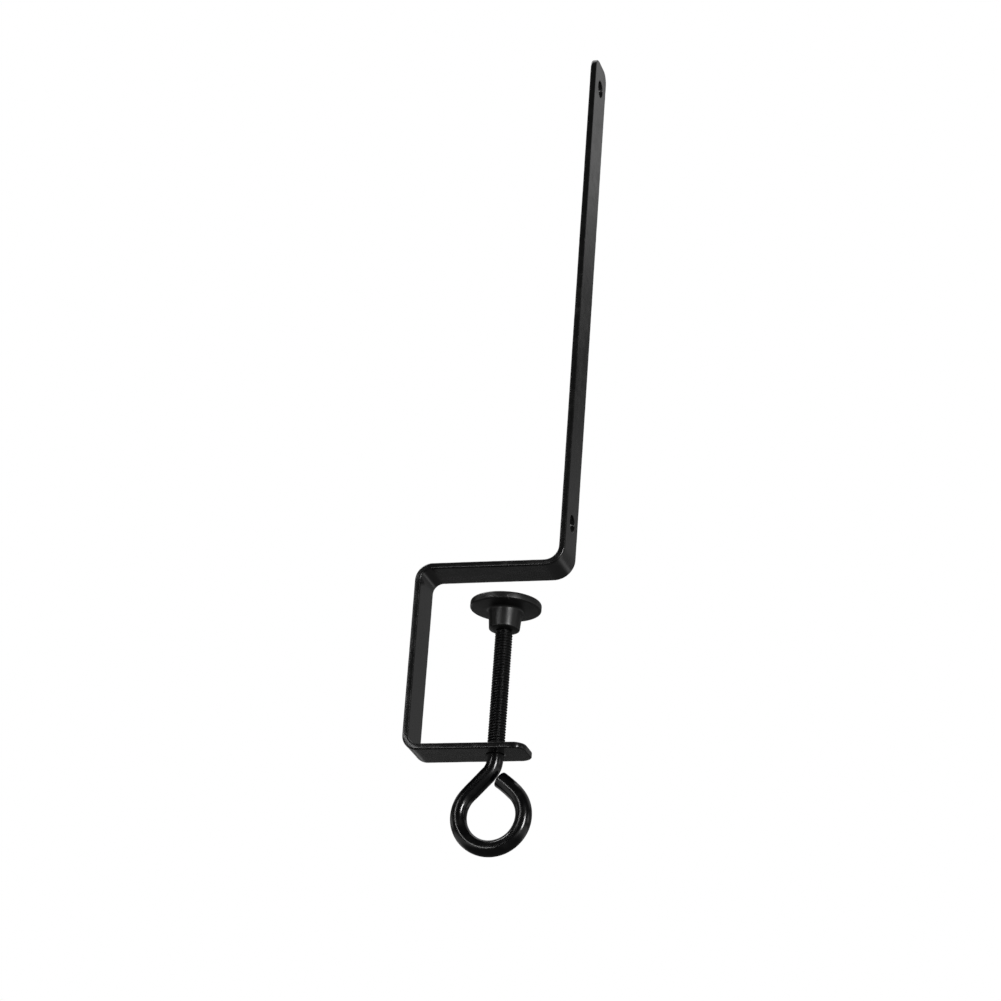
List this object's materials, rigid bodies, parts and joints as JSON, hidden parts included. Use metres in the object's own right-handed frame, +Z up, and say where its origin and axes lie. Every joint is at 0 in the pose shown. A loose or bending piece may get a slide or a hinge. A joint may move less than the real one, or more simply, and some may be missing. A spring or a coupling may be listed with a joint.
{
  "type": "table tennis net clamp",
  "caption": "Screw clamp and net post bent from one flat bar, with cord holes up the post and an eye-ended screw that lifts a swivelling pad against the underside of a table.",
  "frame": {"origin": "where the screw's axis meets the underside of the top plate, the face that rests on the table top", "axes": "+Z up along the net post, +X from the clamp's web to the open side of its jaw, where the net is, and +Y across the width of the bar"},
  "size_m": [0.0429, 0.02, 0.2425],
  "materials": {
    "bracket_paint": "glossy black paint on bent steel bar, slightly uneven, worn at the edges",
    "screw_paint": "glossy black paint on steel wire, thinner on the thread",
    "pad_paint": "glossy black paint on turned and pressed steel"
  },
  "bodies": {
    "bracket": {"bracket": "bracket_paint"},
    "pad": {"pressure_pad": "pad_paint"},
    "screw": {"clamp_screw": "screw_paint"}
  },
  "joints": [
    {"name": "pad_travel", "type": "slide", "parent": "bracket", "child": "pad", "axis": [0, 0, 1], "range_m": [-0.0336, 0.0008]},
    {"name": "screw_turn", "type": "hinge", "parent": "pad", "child": "screw", "pos_m": [0, 0, -0.0126], "axis": [0, 0, 1], "range_deg": [-15120, 360]}
  ],
  "couplings": [
    {"joint": "screw_turn", "follows": "pad_travel", "rad_per_m": 7854}
  ]
}
